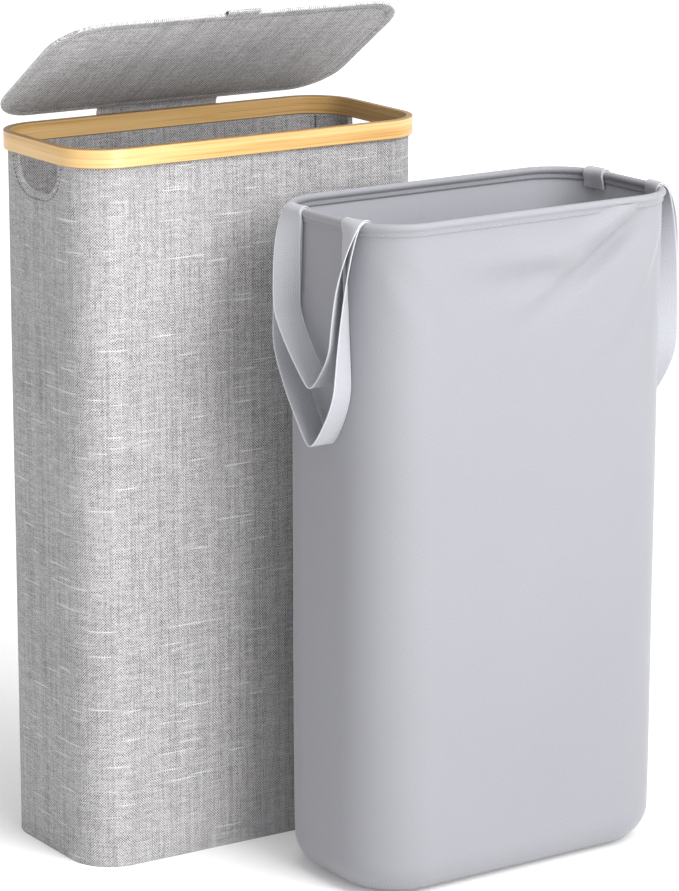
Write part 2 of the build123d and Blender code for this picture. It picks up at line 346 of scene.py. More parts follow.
def thread(name, colour):
    """Sewing thread with its own twist."""
    m = Maker(name)
    x, y, z = m.place()
    twist = waves(m, x + y + z, 0.8 * MM) * 0.5 + 0.5
    darker = tuple(part * 0.8 for part in colour)
    paint = m.mix(twist, (*darker, 1.0), (*colour, 1.0))
    return m.finish(paint, 0.6, twist, 0.1 * MM, 0.4)


def plain_board(name):
    """Grey stiffener board with a speckled face."""
    m = Maker(name)
    x, y, z = m.place()
    speck = m.noise(m.vector(x, y, z), scale=900.0, detail=3.0)
    paint = m.ramp(speck, [(0.3, (0.30, 0.26, 0.21)), (0.7, (0.42, 0.37, 0.30))])
    return m.finish(paint, 0.9, speck, 0.1 * MM, 0.3)


def spring_wire(name):
    """Drawn steel wire."""
    m = Maker(name)
    x, y, z = m.place()
    drawn = m.noise(m.vector(x * 30.0, y * 30.0, z * 3000.0), detail=2.0)
    paint = m.ramp(drawn, [(0.3, (0.42, 0.42, 0.43)), (0.7, (0.62, 0.62, 0.63))])
    return m.finish(paint, 0.3, Metallic=1.0)


def hook_tape(name):
    """Hook and loop tape: a short dense pile in rows."""
    m = Maker(name)
    x, y, z = m.place()
    pile = m.noise(m.vector(x * 1400.0, y * 1400.0, z * 1400.0), detail=2.0)
    rows = waves(m, z, 1.6 * MM) * 0.5 + 0.5
    paint = m.ramp(pile * 0.7 + rows * 0.3, [(0.3, (0.10, 0.10, 0.11)), (0.75, (0.30, 0.30, 0.32))])
    return m.finish(paint, 0.95, pile + rows * 0.5, 0.4 * MM, 0.6)


MATERIALS = {}


def material(name):
    """Make each material once and hand it out by name."""
    if name not in MATERIALS:
        dark, light = colours().linen_dark, colours().linen_light
        recipes = {
            "outer_linen": (linen, dark, light),
            "lining_linen": (linen, dark, light),
            # the lid's linen has lighter threads than the cover's: painted light on the lid's shaded underside
            "lid_linen": (linen, dark, light + 0.06, 1.0, 0.4, 0.04),
            # the lid's bound edge in a finer, lighter linen: the tape, with a painted highlight along the edge
            "edge_tape": (linen, 0.14, 0.80, 1.1 / 1.3, 0.2, 0.04),
            "bamboo": (bamboo,),
            "liner_cloth": (liner_cloth, colours().liner),
            # the bag's inside is the outside cloth made lighter: painted light on its shaded inner walls
            "liner_inside": (liner_cloth, colours().liner_inside),
            "webbing": (webbing, colours().webbing),
            "grey_thread": (thread, (0.11, 0.11, 0.115)),
            "pale_thread": (thread, (0.40, 0.40, 0.44)),
            "stiffener_board": (plain_board,),
            "spring_wire": (spring_wire,),
            "hook_tape": (hook_tape,),
        }
        make, *values = recipes[name]
        MATERIALS[name] = make(name, *values)
    return MATERIALS[name]


def paint(piece, name):
    piece.data.materials.clear()
    piece.data.materials.append(material(name))


# Modelling helpers


def deselect():
    if bpy.context.object and bpy.context.object.mode != "OBJECT":
        bpy.ops.object.mode_set(mode="OBJECT")
    bpy.ops.object.select_all(action="DESELECT")


def take(piece):
    deselect()
    piece.select_set(True)
    bpy.context.view_layer.objects.active = piece


def edit(piece):
    """Open a piece in edit mode with nothing selected."""
    take(piece)
    bpy.ops.object.mode_set(mode="EDIT")
    bpy.ops.mesh.select_all(action="DESELECT")


def leave():
    bpy.ops.object.mode_set(mode="OBJECT")


def pick(piece, kind, test):
    """Select the faces or edges whose middle and direction pass a test."""
    bpy.ops.mesh.select_mode(type={"faces": "FACE", "edges": "EDGE"}[kind])
    mesh = bmesh.from_edit_mesh(piece.data)
    for item in getattr(mesh, kind):
        if kind == "faces":
            chosen = test(item.calc_center_median(), item.normal)
        else:
            first, second = (end.co for end in item.verts)
            chosen = test((first + second) / 2, (second - first).normalized())
        item.select_set(chosen)
    mesh.select_flush_mode()
    bmesh.update_edit_mesh(piece.data)


def face_out(piece):
    """Merge the doubles of a closed piece and turn its faces outwards."""
    edit(piece)
    bpy.ops.mesh.select_all(action="SELECT")
    bpy.ops.mesh.remove_doubles(threshold=0.01 * MM)
    bpy.ops.mesh.normals_make_consistent(inside=False)
    leave()


def box(name, low, high):
    """A block between two corners, with its place in its mesh."""
    deselect()
    low, high = Vector(low), Vector(high)
    bpy.ops.mesh.primitive_cube_add(size=1, location=(low + high) / 2)
    piece = bpy.context.object
    piece.name = name
    piece.scale = high - low
    bpy.ops.object.transform_apply(location=True, rotation=True, scale=True)
    return piece


def rounded_box(name, low, high, corner, segments=14):
    """A block whose four upright edges are rounded."""
    piece = box(name, low, high)
    edit(piece)
    pick(piece, "edges", lambda middle, along: abs(along.z) > 0.9)
    bpy.ops.mesh.bevel(offset=corner, segments=segments, profile=0.5, affect="EDGES")
    leave()
    return piece


def apply_modifier(piece, kind, **settings):
    """Add a modifier, set it and apply it."""
    take(piece)
    modifier = piece.modifiers.new(kind.title(), kind)
    for key, value in settings.items():
        setattr(modifier, key, value)
    bpy.ops.object.modifier_apply(modifier=modifier.name)


def cloth_grid(name, across, along, place, closed=True):
    """A grid of squares whose corners are set by place(i, j), as (point, (u, v))."""
    deselect()
    bpy.ops.mesh.primitive_grid_add(x_subdivisions=across, y_subdivisions=along, size=2)
    piece = bpy.context.object
    piece.name = name
    mesh = piece.data
    spots = {}
    for vertex in mesh.vertices:
        i = round((vertex.co.x + 1) / 2 * across)
        j = round((vertex.co.y + 1) / 2 * along)
        spots[vertex.index] = place(i / across, j / along)
    for vertex in mesh.vertices:
        vertex.co = spots[vertex.index][0]
    layer = mesh.uv_layers.active or mesh.uv_layers.new(name="UVMap")
    for loop in mesh.loops:
        layer.data[loop.index].uv = spots[loop.vertex_index][1]
    if closed:
        face_out(piece)
    return piece


# Stretches of a rounded rectangle from the middle of its back: each has a fixed share of the
# columns, so that they stand upright between sections, and the corners it passes
OUTLINE_SHARES = (0.14, 0.07, 0.08, 0.07, 0.28, 0.07, 0.08, 0.07, 0.14)
OUTLINE_STOPS = ((0, 1), (-1, 1), (-1, -1), (1, -1), (1, 1), (0, 1))


def rounded_outline(size, share):
    """Point, outward direction and distance run, a share of the way round a rounded rectangle."""
    width, depth, corner = size
    corner = min(corner, width / 2 - 0.1 * MM, depth / 2 - 0.1 * MM)
    half_x, half_y = width / 2 - corner, depth / 2 - corner
    arc = corner * math.pi / 2
    runs = (half_x, arc, 2 * half_y, arc, 2 * half_x, arc, 2 * half_y, arc, half_x)
    run = start = 0.0
    for k, (length, part) in enumerate(zip(runs, OUTLINE_SHARES)):
        if share <= start + part + 1e-9 or k == len(runs) - 1:
            break
        run += length
        start += part
    t = min(max((share - start) / part, 0.0), 1.0)
    # the outline rolls on a corner's centre, then runs on to the next corner
    centres = [Vector((x * half_x, y * half_y, 0)) for x, y in OUTLINE_STOPS]
    centre = centres[(k + 1) // 2].lerp(centres[(k + 2) // 2], t)
    turn = math.pi / 2 * (k // 2 + 1 + (t if k % 2 else 0))
    out = Vector((math.cos(turn), math.sin(turn), 0))
    return centre + out * corner, out, run + t * length


def outline_length(size):
    """Distance once round a rounded rectangle."""
    width, depth, corner = size
    return 2 * (width + depth) - (8 - 2 * math.pi) * corner


def shade(piece, degrees=40):
    take(piece)
    bpy.ops.object.shade_smooth_by_angle(angle=math.radians(degrees))


def turn_lid(piece):
    """Turn a piece drawn on the closed lid up to where the lid rests."""
    piece.data.transform(LID_TURN)
    piece.data.update()


def flat_uv(piece):
    """Lay the cloth's threads along X and Y."""
    layer = piece.data.uv_layers.active or piece.data.uv_layers.new(name="UVMap")
    for loop in piece.data.loops:
        point = piece.data.vertices[loop.vertex_index].co
        layer.data[loop.index].uv = (point.x, point.y)


def settle(piece, body, slot, *nodes):
    """Hide the CAD nodes the finished piece stands for and hang it on the body it rides on."""
    if nodes:
        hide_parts(*nodes)
    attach(piece, body)


def dress(piece, cloth, slot, *nodes, degrees=40):
    """Smooth, paint and settle a piece of the hamper's body."""
    shade(piece, degrees)
    paint(piece, cloth)
    settle(piece, "hamper", slot, *nodes)


def stitches(name, route, length=2.6 * MM, gap=1.4 * MM, radius=0.32 * MM, yarn="grey_thread"):
    """A row of stitches: one short thread, copied along a route of (point, outward) pairs."""
    spans = [(b[0] - a[0]).length for a, b in zip(route, route[1:])]
    total = sum(spans)
    count = max(int(total / (length + gap)), 1)
    deselect()
    bpy.ops.mesh.primitive_uv_sphere_add(segments=6, ring_count=4, radius=1)
    first = bpy.context.object
    first.scale = (length / 2, radius, radius)
    bpy.ops.object.transform_apply(scale=True)
    copies = []
    for k in range(count):
        goal = (k + 0.5) / count * total
        i = 0
        while i < len(spans) - 1 and goal > spans[i]:
            goal -= spans[i]
            i += 1
        (p, out_p), (q, out_q) = route[i], route[i + 1]
        share = goal / max(spans[i], 1e-9)
        along = (q - p).normalized()
        out = out_p.lerp(out_q, share)
        out = (out - along * out.dot(along)).normalized()
        side = out.cross(along)
        place = Matrix((along, side, out)).transposed().to_4x4()
        place.translation = p.lerp(q, share)
        copy = first.copy()
        copy.data = first.data.copy()
        copy.data.transform(place)
        bpy.context.collection.objects.link(copy)
        copies.append(copy)
    bpy.data.objects.remove(first)
    deselect()
    for copy in copies:
        copy.select_set(True)
    bpy.context.view_layer.objects.active = copies[0]
    if len(copies) > 1:
        bpy.ops.object.join()
    piece = bpy.context.view_layer.objects.active
    piece.name = name
    shade(piece, 60)
    paint(piece, yarn)
    return piece


# Hamper body


def hole_route(grow, x):
    """Half-moon of a hand hole as points from its back top corner to its front one."""
    half = HOLE_HALF + grow
    corner = HOLE_CORNER + grow
    points = [Vector((x, half, BAND_LOW.z))]
    for k in range(HOLE_STEPS + 1):
        angle = math.pi / 2 * k / HOLE_STEPS
        y = half - corner + corner * math.cos(angle)
        points.append(Vector((x, y, HOLE_LOW - grow + corner - corner * math.sin(angle))))
    return points + [Vector((x, -point.y, point.z)) for point in reversed(points)]


def cut_holes(piece):
    """Cut the hand holes through both short sides with one block of their shape."""
    points = hole_route(0, 0)
    deselect()
    bpy.ops.mesh.primitive_circle_add(vertices=len(points), radius=0.01, fill_type="NGON")
    cutter = bpy.context.object
    for vertex, point in zip(cutter.data.vertices, points):
        vertex.co = Vector((-0.3, point.y, point.z))
    edit(cutter)
    bpy.ops.mesh.select_all(action="SELECT")
    bpy.ops.mesh.extrude_region_move(TRANSFORM_OT_translate={"value": (0.6, 0, 0)})
    face_out(cutter)
    apply_modifier(piece, "BOOLEAN", operation="DIFFERENCE", object=cutter, solver="EXACT")
    bpy.data.objects.remove(cutter)


def body_wall(name, inset, corner, low, high, wander):
    """Cloth round the body: a fine grid pulled over the boards, with the hand holes cut."""
    size = (2 * (HALF_X - inset), 2 * (HALF_Y - inset), corner)

    def place(i, j):
        point, out, run = rounded_outline(size, i)
        z = low + (high - low) * j
        ease = min(j, 1 - j, 0.08) / 0.08
        wave = noise.noise(Vector((run * 9, z * 5, inset * 100))) * wander * ease
        point = point + out * wave
        return Vector((point.x, point.y, z)), (run, z)

    piece = cloth_grid(name, 200, 70, place)
    apply_modifier(piece, "SOLIDIFY", thickness=sizes().cloth, offset=-1)
    cut_holes(piece)
    return piece


class HAMPER_OT_cover(bpy.types.Operator):
    """Outer linen cover with its hand holes"""

    bl_idname = "hamper.cover"
    bl_label = "Outer cover"

    def execute(self, context):
        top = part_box("outer_cover")[1].z
        piece = body_wall("outer_cover_cloth", 0, CORNER, BODY_LOW.z + 0.3 * MM, top, 0.25 * MM)
        dress(piece, "outer_linen", LINEN_SLOT, "outer_cover")
        return {"FINISHED"}


class HAMPER_OT_lining(bpy.types.Operator):
    """Linen lining inside the walls and on the floor"""

    bl_idname = "hamper.lining"
    bl_label = "Lining"

    def execute(self, context):
        inset = HALF_X - LINING_HIGH.x
        reach = (LINING_LOW.z, LINING_HIGH.z)
        wall = body_wall("lining_cloth", inset, LINING_CORNER, *reach, 0.2 * MM)
        dress(wall, "lining_linen", LINEN_SLOT, "inner_lining")
        self.seams(inset)
        low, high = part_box("floor_lining")
        floor = rounded_box("floor_cloth", low, high, LINING_CORNER - sizes().cloth)
        edit(floor)
        pick(floor, "faces", lambda middle, normal: normal.z > 0.9)
        bpy.ops.mesh.inset(thickness=6 * MM, depth=-0.2 * MM)
        leave()
        flat_uv(floor)
        dress(floor, "lining_linen", LINEN_SLOT, "floor_lining")
        return {"FINISHED"}

    def seams(self, inset):
        """Upright seams where the wall panels of the lining meet in the corners, in the dark thread's colour:
        painted shade along the corner creases.
        """
        radius = LINING_CORNER - sizes().cloth
        middle_x = HALF_X - inset - LINING_CORNER
        middle_y = HALF_Y - inset - LINING_CORNER
        turn = math.radians(52)
        for side_x, name_x in ((-1, "left"), (1, "right")):
            for side_y, name_y in ((-1, "front"), (1, "back")):
                out = Vector((side_x * math.cos(turn), side_y * math.sin(turn), 0.0))
                spot = Vector((side_x * middle_x, side_y * middle_y, 0.0)) + out * radius
                low = (-0.9 * MM, -0.8 * MM, LINING_LOW.z + 2 * MM)
                high = (0.1 * MM, 0.8 * MM, LINING_HIGH.z - 0.5 * MM)
                welt = box(f"lining_seam_{name_x}_{name_y}", low, high)
                apply_modifier(welt, "BEVEL", width=0.35 * MM, segments=2)
                spin = Matrix.Rotation(math.atan2(out.y, out.x), 4, "Z")
                welt.data.transform(Matrix.Translation(spot) @ spin)
                # the welts take the dark thread's colour: painted shade along the corner seams
                dress(welt, "grey_thread", LINEN_SLOT)


class HAMPER_OT_base(bpy.types.Operator):
    """Linen under the base, turned over its edge"""

    bl_idname = "hamper.base"
    bl_label = "Base cloth"

    def execute(self, context):
        piece = rounded_box("base_cloth", BODY_LOW, BODY_HIGH, CORNER)
        edit(piece)
        pick(piece, "faces", lambda middle, normal: normal.z < -0.9)
        bpy.ops.mesh.inset(thickness=9 * MM, depth=0)
        bpy.ops.mesh.inset(thickness=1 * MM, depth=-0.25 * MM)
        leave()
        flat_uv(piece)
        dress(piece, "outer_linen", LINEN_SLOT, "base_cover")
        return {"FINISHED"}


class HAMPER_OT_hand_holes(bpy.types.Operator):
    """Bound and stitched edges of the two hand holes"""

    bl_idname = "hamper.hand_holes"
    bl_label = "Hand holes"

    def execute(self, context):
        for side, name in ((-1, "left"), (1, "right")):
            low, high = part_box(f"hand_hole_binding_{name}")
            inner = side * min(abs(low.x), abs(high.x))
            outer = side * max(abs(low.x), abs(high.x))
            piece = self.binding(f"hand_hole_edge_{name}", side, inner, outer)
            node = f"hand_hole_binding_{name}"
            dress(piece, "outer_linen", "edge_binding", node, degrees=60)
            points = hole_route(5.5 * MM, side * (HALF_X + 0.25 * MM))[1:-1]
            route = [(point, Vector((side, 0, 0))) for point in points]
            row = stitches(f"hand_hole_stitches_{name}", route, 3.2 * MM, 0.8 * MM, 0.4 * MM)
            settle(row, "hamper", "edge_binding")
        return {"FINISHED"}

    def binding(self, name, side, inner, outer):
        """Cloth rolled over the edge of the hole, from the outside to the inside."""
        lip = 2.6 * MM
        # across the wall and how far out of the hole's edge, round the rolled cloth
        profile = [
            (side * (HALF_X + 0.05 * MM), lip),
            (outer, lip * 0.75),
            (outer, 0.3 * MM),
            (outer - side * 0.4 * MM, -0.55 * MM),
            ((inner + outer) / 2, -0.75 * MM),
            (inner + side * 0.4 * MM, -0.55 * MM),
            (inner, 0.3 * MM),
            (inner, lip * 0.75),
            (inner + side * 0.8 * MM, lip),
            (side * (HALF_X + 0.05 * MM), lip),
        ]
        across = len(profile) - 1
        routes = [hole_route(grow, x) for x, grow in profile]
        along = len(routes[0]) - 1

        def place(i, j):
            k = round(i * across)
            step = round(j * along)
            point = routes[k][step].copy()
            if step in (0, along):
                point.z = BAND_LOW.z - 0.05 * MM
            return point, (profile[k][0], point.y + point.z)

        piece = cloth_grid(name, across, along, place)
        apply_modifier(piece, "SUBSURF", levels=1, render_levels=1)
        return piece


# Lid


class HAMPER_OT_lid(bpy.types.Operator):
    """Cloth-covered lid with its edge seam and pull tab"""

    bl_idname = "hamper.lid"
    bl_label = "Lid"

    def execute(self, context):
        low = Vector((-LID_HALF_X, -LID_HALF_Y, LID_LOW))
        high = Vector((LID_HALF_X, LID_HALF_Y, LID_LOW + LID_THICK))
        piece = rounded_box("lid_cloth", low, high, LID_CORNER, 20)
        edit(piece)
        # a sewn groove round both faces
        for way, groove in ((-1, 0.3 * MM), (1, 0.35 * MM)):
            pick(piece, "faces", lambda middle, normal: normal.z * way > 0.9)
            bpy.ops.mesh.inset(thickness=9 * MM, depth=0)
            for depth in (-groove, groove):
                bpy.ops.mesh.inset(thickness=0.8 * MM, depth=depth)
        pick(piece, "edges", lambda middle, along: self.on_edge(middle))
        bpy.ops.mesh.bevel(offset=LID_THICK * 0.441, segments=5, profile=0.5, affect="EDGES")
        leave()
        shade(piece, 50)
        flat_uv(piece)
        # the lid takes the lighter copy of the linen: painted light on its shaded underside
        paint(piece, "lid_linen")
        # the edge faces take the lighter tape linen: the bound edge, with a painted highlight along it
        piece.data.materials.append(material("edge_tape"))
        for face in piece.data.polygons:
            if abs(face.normal.z) < 0.75:
                face.material_index = 1
        turn_lid(piece)
        settle(piece, "lid", LINEN_SLOT, "lid_underside", "lid_top_cover")
        self.seam()
        self.tab()
        return {"FINISHED"}

    def on_edge(self, middle):
        """Is this the outline of the top or the underside?"""
        at_face = min(abs(middle.z - LID_LOW), abs(middle.z - LID_LOW - LID_THICK)) < 0.01 * MM
        reach_x = LID_HALF_X - abs(middle.x)
        reach_y = LID_HALF_Y - abs(middle.y)
        if reach_x < LID_CORNER and reach_y < LID_CORNER:
            away = Vector((LID_CORNER - reach_x, LID_CORNER - reach_y))
            return at_face and away.length > LID_CORNER - 1.2 * MM
        return at_face and min(reach_x, reach_y) < 0.1 * MM

    def seam(self):
        """Row of stitches in the groove on the underside."""
        size = shrink((2 * LID_HALF_X, 2 * LID_HALF_Y, LID_CORNER), 9.8 * MM, 1.0)
        route = []
        for k in range(121):
            point, out, run = rounded_outline(size, k / 120)
            route.append((Vector((point.x, point.y, LID_LOW + 0.2 * MM)), Vector((0, 0, -1))))
        row = stitches("lid_seam_stitches", route)
        turn_lid(row)
        settle(row, "lid", LINEN_SLOT)

    def tab(self):
        """Folded cloth tab: a loop that opens at both ends."""
        low = LID_LOW + 0.4 * MM
        high = LID_LOW + 3.4 * MM
        middle = (low + high) / 2
        front = -LID_HALF_Y
        reach = TAB_REACH
        fold = [(front + 1 * MM, low), (front - reach * 0.55, low - 0.1 * MM)]
        for k in range(7):
            turn = -math.pi / 2 + math.pi * k / 6
            y = front - reach + 1.9 * MM - 1.5 * MM * math.cos(turn)
            fold.append((y, middle + 1.5 * MM * math.sin(turn)))
        fold += [(front - reach * 0.55, high + 0.1 * MM), (front + 1 * MM, high)]
        along = len(fold) - 1

        def place(i, j):
            y, z = fold[round(j * along)]
            x = (i * 2 - 1) * TAB_HALF
            return Vector((x, y, z)), (x, j * 2 * reach)

        piece = cloth_grid("lid_pull_tab_cloth", 12, along, place, closed=False)
        apply_modifier(piece, "SOLIDIFY", thickness=0.8 * MM, offset=0)
        apply_modifier(piece, "BEVEL", width=0.25 * MM, segments=2, limit_method="ANGLE")
        shade(piece)
        turn_lid(piece)
        # the tab takes the lid's lighter linen: painted light
        paint(piece, "lid_linen")
        settle(piece, "lid", LINEN_SLOT, "lid_pull_tab")


class HAMPER_OT_flap(bpy.types.Operator):
    """Cloth flap that carries the lid, sewn to the back wall"""

    bl_idname = "hamper.flap"
    bl_label = "Lid flap"

    def execute(self, context):
        low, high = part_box("flap_fixed_end")
        wall_y = low.y + 0.6 * MM
        edge = LID_TURN @ Vector((0, LID_HALF_Y - 1.0 * MM, LID_LOW + LID_THICK * 0.5))
        # up the back wall, over the rim band, past the hinge and into the lid's edge
        fold = (
            (wall_y, low.z),
            (wall_y, (low.z + BAND_LOW.z) / 2),
            (wall_y, BAND_LOW.z - 9 * MM),
            (wall_y + 3.2 * MM, BAND_LOW.z + 3 * MM),
            (wall_y + 6.2 * MM, BAND_LOW.z + 11 * MM),
            (HINGE.y - 0.9 * MM, HINGE.z - 2 * MM),
            (HINGE.y - 1.6 * MM, HINGE.z + 1.6 * MM),
            (edge.y + 2.5 * MM, edge.z + 0.5 * MM),
            (edge.y, edge.z),
        )
        route = smooth_route([Vector((0, y, z)) for y, z in fold], 48)
        half = (high.x - low.x) / 2
        length = sum((b - a).length for a, b in zip(route, route[1:]))

        def place(i, j):
            point = route[round(j * 48)]
            x = (i * 2 - 1) * half
            ripple = noise.noise(Vector((x * 22, j * 3, 4))) * 0.3 * MM * math.sin(math.pi * j)
            return Vector((x, point.y + ripple, point.z)), (x, j * length)

        piece = cloth_grid("lid_flap_cloth", 60, 48, place, closed=False)
        apply_modifier(piece, "SOLIDIFY", thickness=1.0 * MM, offset=0)
        shade(piece, 50)
        paint(piece, "outer_linen")
        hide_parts("flap_fixed_end", "flap_lid_end")
        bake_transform(piece)
        for height in (low.z + 3 * MM, BAND_LOW.z - 12 * MM):
            y = wall_y + 0.75 * MM
            ends = [-half + 4 * MM, half - 4 * MM]
            line = [(Vector((x, y, height)), Vector((0, 1, 0))) for x in ends]
            row = stitches(f"flap_stitches_{round(height * 1000)}", line)
            settle(row, "hamper", LINEN_SLOT)
        return {"FINISHED"}


def smooth_route(points, steps):
    """A smooth line through points, cut into even steps."""
    count = len(points) - 1
    fine = []
    for k in range(count * 16 + 1):
        t = k / 16
        i = min(int(t), count - 1)
        s = t - i
        p1, p2 = points[i], points[i + 1]
        p0 = points[i - 1] if i else p1 * 2 - p2
        p3 = points[i + 2] if i + 2 <= count else p2 * 2 - p1
        bend = 2 * p0 - 5 * p1 + 4 * p2 - p3
        twist = 3 * p1 - p0 - 3 * p2 + p3
        fine.append(((2 * p1 + (p2 - p0) * s + bend * s * s + twist * s * s * s) / 2,))
    return [point for (point,) in even_steps(fine, steps)]


def even_steps(route, steps):
    """A route's entries, each a tuple that starts with its point, at even distances."""
    runs = [0.0]
    for a, b in zip(route, route[1:]):
        runs.append(runs[-1] + (b[0] - a[0]).length)
    even = []
    i = 0
    for k in range(steps + 1):
        goal = runs[-1] * k / steps
        while i < len(runs) - 2 and runs[i + 1] < goal:
            i += 1
        share = (goal - runs[i]) / max(runs[i + 1] - runs[i], 1e-12)
        even.append([a + (b - a) * share for a, b in zip(route[i], route[i + 1])])
    return even


# Liner bag


def shrink(size, inset, rounding=0.8):
    """A rounded rectangle drawn in all round, whose corners stay round."""
    return (size[0] - 2 * inset, size[1] - 2 * inset, max(size[2] - inset * rounding, 0.8 * MM))


def fold(x, z, start, end, width):
    """How much of a fold is at a point: full on its line, fading beside it and at its far end."""
    along = Vector(end) - Vector(start)
    away = Vector((x, z)) - Vector(start)
    share = away.dot(along) / along.length_squared
    if share < -0.15 or share > 1.15:
        return 0.0
    ease = min((share + 0.15) / 0.3, (1.15 - share) / 0.7, 1.0)
    spread = 1.0 + share * 0.6
    side = (away.x * along.y - away.y * along.x) / along.length / width
    hollow = math.exp(-((side / spread) ** 2))
    ridge = math.exp(-(((side - 1.7) / spread) ** 2))
    return max(ease, 0.0) * (hollow - 0.7 * ridge)


class HAMPER_OT_bag(bpy.types.Operator):
    """Soft liner bag: one loft from the rim to the pillow-shaped base"""

    bl_idname = "hamper.bag"
    bl_label = "Liner bag"

    top_rows = 52
    wall_rows = 112
    round_rows = 12
    base_rows = 10
    rows = wall_rows + round_rows + base_rows

    # drag folds on the front: start and end (x, z), then how deep and how wide
    folds = (
        ((118, 628), (22, 580), 9.0, 8.5),
        ((112, 614), (-10, 542), 10.0, 8.5),
        ((35, 583), (-85, 580), 5.5, 12.0),
        ((160, 600), (96, 480), 3.0, 9.0),
        ((-150, 610), (-96, 520), 0.8, 10.0),
    )

    def execute(self, context):
        piece = cloth_grid("bag_cloth", 280, self.rows, self.place)
        paint(piece, "liner_cloth")
        # the inner faces take the lighter copy of the cloth: painted light inside the bag
        piece.data.materials.append(material("liner_inside"))
        wall = {"thickness": sizes().cloth, "offset": -1, "material_offset": 1}
        apply_modifier(piece, "SOLIDIFY", **wall)
        shade(piece, 60)
        piece.data.transform(BAG_PLACE)
        settle(piece, "bag", "liner_cloth", "bag_walls", "bag_base")
        return {"FINISHED"}

    def place(self, i, j):
        """Point of the bag a share of the way round and from the rim to the middle of the base."""
        row = j * self.rows
        top = RIM_Z - RIM_TUBE + 1.2 * MM
        round_start = top - BAG_ROUND
        if row <= self.wall_rows:
            share = 0.26 * row / self.top_rows
            if row > self.top_rows:
                share = 0.26 + 0.74 * (row - self.top_rows) / (self.wall_rows - self.top_rows)
            z = top + (BAG_ROUND - top) * share
            size = tuple(a + (b - a) * share for a, b in zip(RIM_SIZE, BAG_FOOT_SIZE))
            run_down = top - z
        elif row <= self.wall_rows + self.round_rows:
            angle = (row - self.wall_rows) / self.round_rows * math.pi / 2
            z = BAG_ROUND * (1 - math.sin(angle))
            size = shrink(BAG_FOOT_SIZE, BAG_ROUND * (1 - math.cos(angle)))
            run_down = round_start + BAG_ROUND * angle
        else:
            share = (row - self.wall_rows - self.round_rows) / self.base_rows
            inwards = share * (BAG_FOOT_SIZE[1] / 2 - BAG_ROUND - 1 * MM)
            z = 0.0
            size = shrink(BAG_FOOT_SIZE, BAG_ROUND + inwards)
            run_down = round_start + BAG_ROUND * math.pi / 2 + inwards
        # the sewn joint of the cloth stands in the back left corner
        share = i + 0.175
        wrapped = share > 1
        point, out, run = rounded_outline(size, share - wrapped)
        run += wrapped * outline_length(size)
        soft = self.softness(point, out, run % outline_length(size), z)
        point = point + out * soft
        return Vector((point.x, point.y, max(z, 0.0))), (run, -run_down)

    def softness(self, point, out, run, z):
        """How far the cloth stands in or out of the plain loft."""
        held = min(max((RIM_Z - z) / (60 * MM), 0.0), 1.0)
        low = min(max(z / (60 * MM), 0.0), 1.0)
        wave = noise.noise(Vector((run * 5, z * 3.2, 1.7))) * 1.3 * MM
        wave += noise.noise(Vector((run * 16, z * 7, 8.1))) * 0.35 * MM
        soft = wave * held * low
        if abs(out.y) > 0.7:
            belly = math.cos(point.x / RIM_SIZE[0] * math.pi)
            soft += belly * math.sin(math.pi * min(max(z / RIM_Z, 0), 1)) * -1.0 * MM
        if out.y < -0.7:
            for start, end, depth, width in self.folds:
                soft -= fold(point.x / MM, z / MM, start, end, width) * depth * MM
        return soft


class HAMPER_OT_piping(bpy.types.Operator):
    """Round piping and its stitched flange at the bag's mouth"""

    bl_idname = "hamper.piping"
    bl_label = "Bag piping"

    def execute(self, context):
        profile = self.profile()
        across = len(profile) - 1

        def place(i, j):
            k = round(j * across)
            point, out, run = rounded_outline(RIM_SIZE, i)
            offset, height = profile[k]
            spot = point + out * offset
            return Vector((spot.x, spot.y, RIM_Z + height)), (run, k * 1.2 * MM)

        piece = cloth_grid("bag_piping_cloth", 220, across, place)
        shade(piece, 70)
        piece.data.transform(BAG_PLACE)
        paint(piece, "liner_cloth")
        settle(piece, "bag", "liner_cloth", "bag_rim_piping")
        for name, offset, way in (("outer", 1.5, 1), ("inner", -2.3, -1)):
            route = []
            for k in range(221):
                point, out, run = rounded_outline(RIM_SIZE, k / 220)
                spot = point + out * offset * MM
                route.append((Vector((spot.x, spot.y, RIM_Z - 6.6 * MM)), out * way))
            thread_size = (2.4 * MM, 1.2 * MM, 0.25 * MM)
            row = stitches(f"bag_rim_stitches_{name}", route, *thread_size, "pale_thread")
            row.data.transform(BAG_PLACE)
            settle(row, "bag", "liner_cloth")
        return {"FINISHED"}

    def profile(self):
        """Section of the piping: a round tube on a flange that grips the bag's cloth."""
        radius = RIM_TUBE
        points = []
        gap = math.radians(28)
        for k in range(17):
            turn = -math.pi / 2 + gap + (2 * math.pi - 2 * gap) * k / 16
            points.append((radius * math.cos(turn), radius * math.sin(turn)))
        flange = [(-2.0, -4.4), (-2.15, -6.6), (-1.9, -8.2), (-1.2, -8.5)]
        flange += [(0.4, -8.5), (1.1, -8.2), (1.35, -6.6), (1.3, -4.4)]
        points += [(x * MM, z * MM) for x, z in flange]
        points.append(points[0])
        return points


# Webbing loops


def rim_at(y):
    """Reach of the rim's centre line from the bag's middle at y, and the turn of its normal."""
    corner = RIM_SIZE[2]
    past = max(abs(y) - (RIM_SIZE[1] / 2 - corner), 0.0)
    turn = math.asin(past / corner)
    return RIM_SIZE[0] / 2 - corner * (1 - math.cos(turn)), turn


